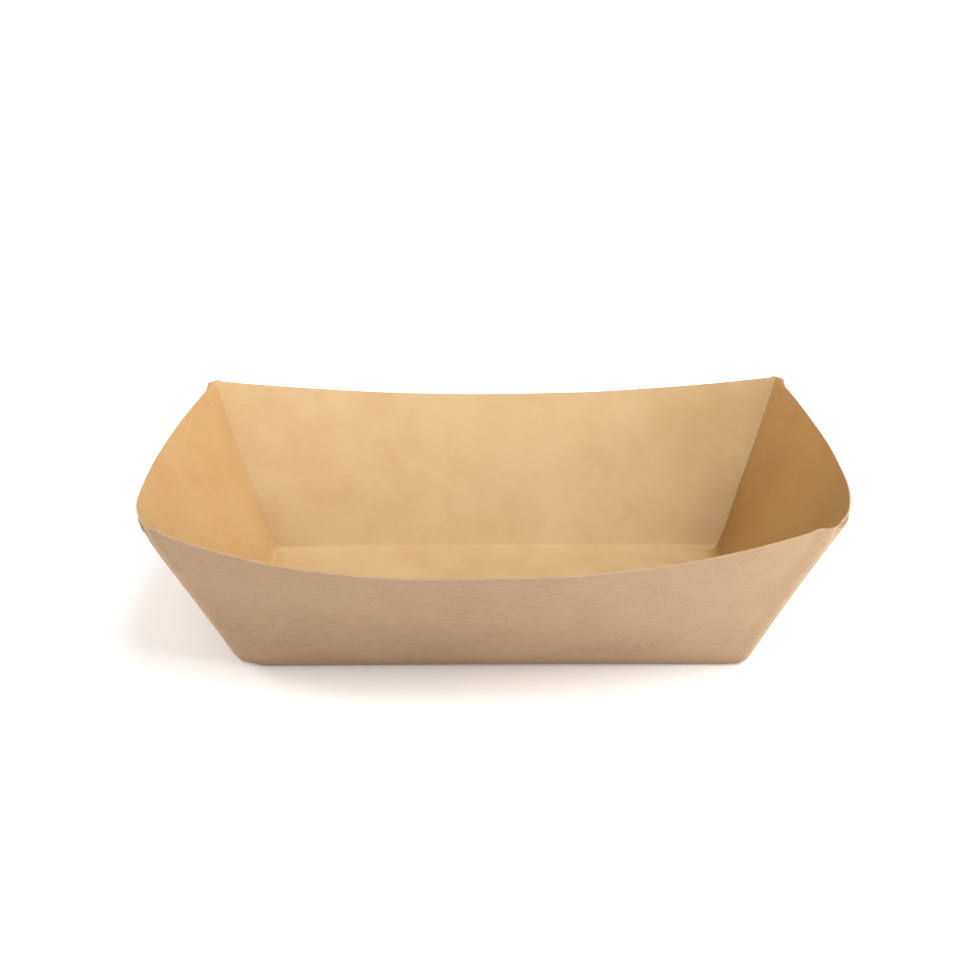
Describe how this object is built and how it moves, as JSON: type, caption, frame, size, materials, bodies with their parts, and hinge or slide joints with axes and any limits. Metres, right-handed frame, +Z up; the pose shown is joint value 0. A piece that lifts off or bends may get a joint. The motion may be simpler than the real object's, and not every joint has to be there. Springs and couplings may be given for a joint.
{
  "type": "paper food tray",
  "caption": "Open rectangular takeaway tray folded from one sheet of plain brown board, with bowed and dipped rims and corner webs folded flat onto the end walls.",
  "frame": {"origin": "middle of the underside, on the table", "axes": "+X along the long walls, +Y towards the wall at the back of the picture, +Z up"},
  "size_m": [0.173, 0.1196, 0.0437],
  "materials": {
    "board": "matt, uncoated brown board, smoother and yellower inside"
  },
  "bodies": {
    "root": {"tray": "board"}
  },
  "joints": []
}
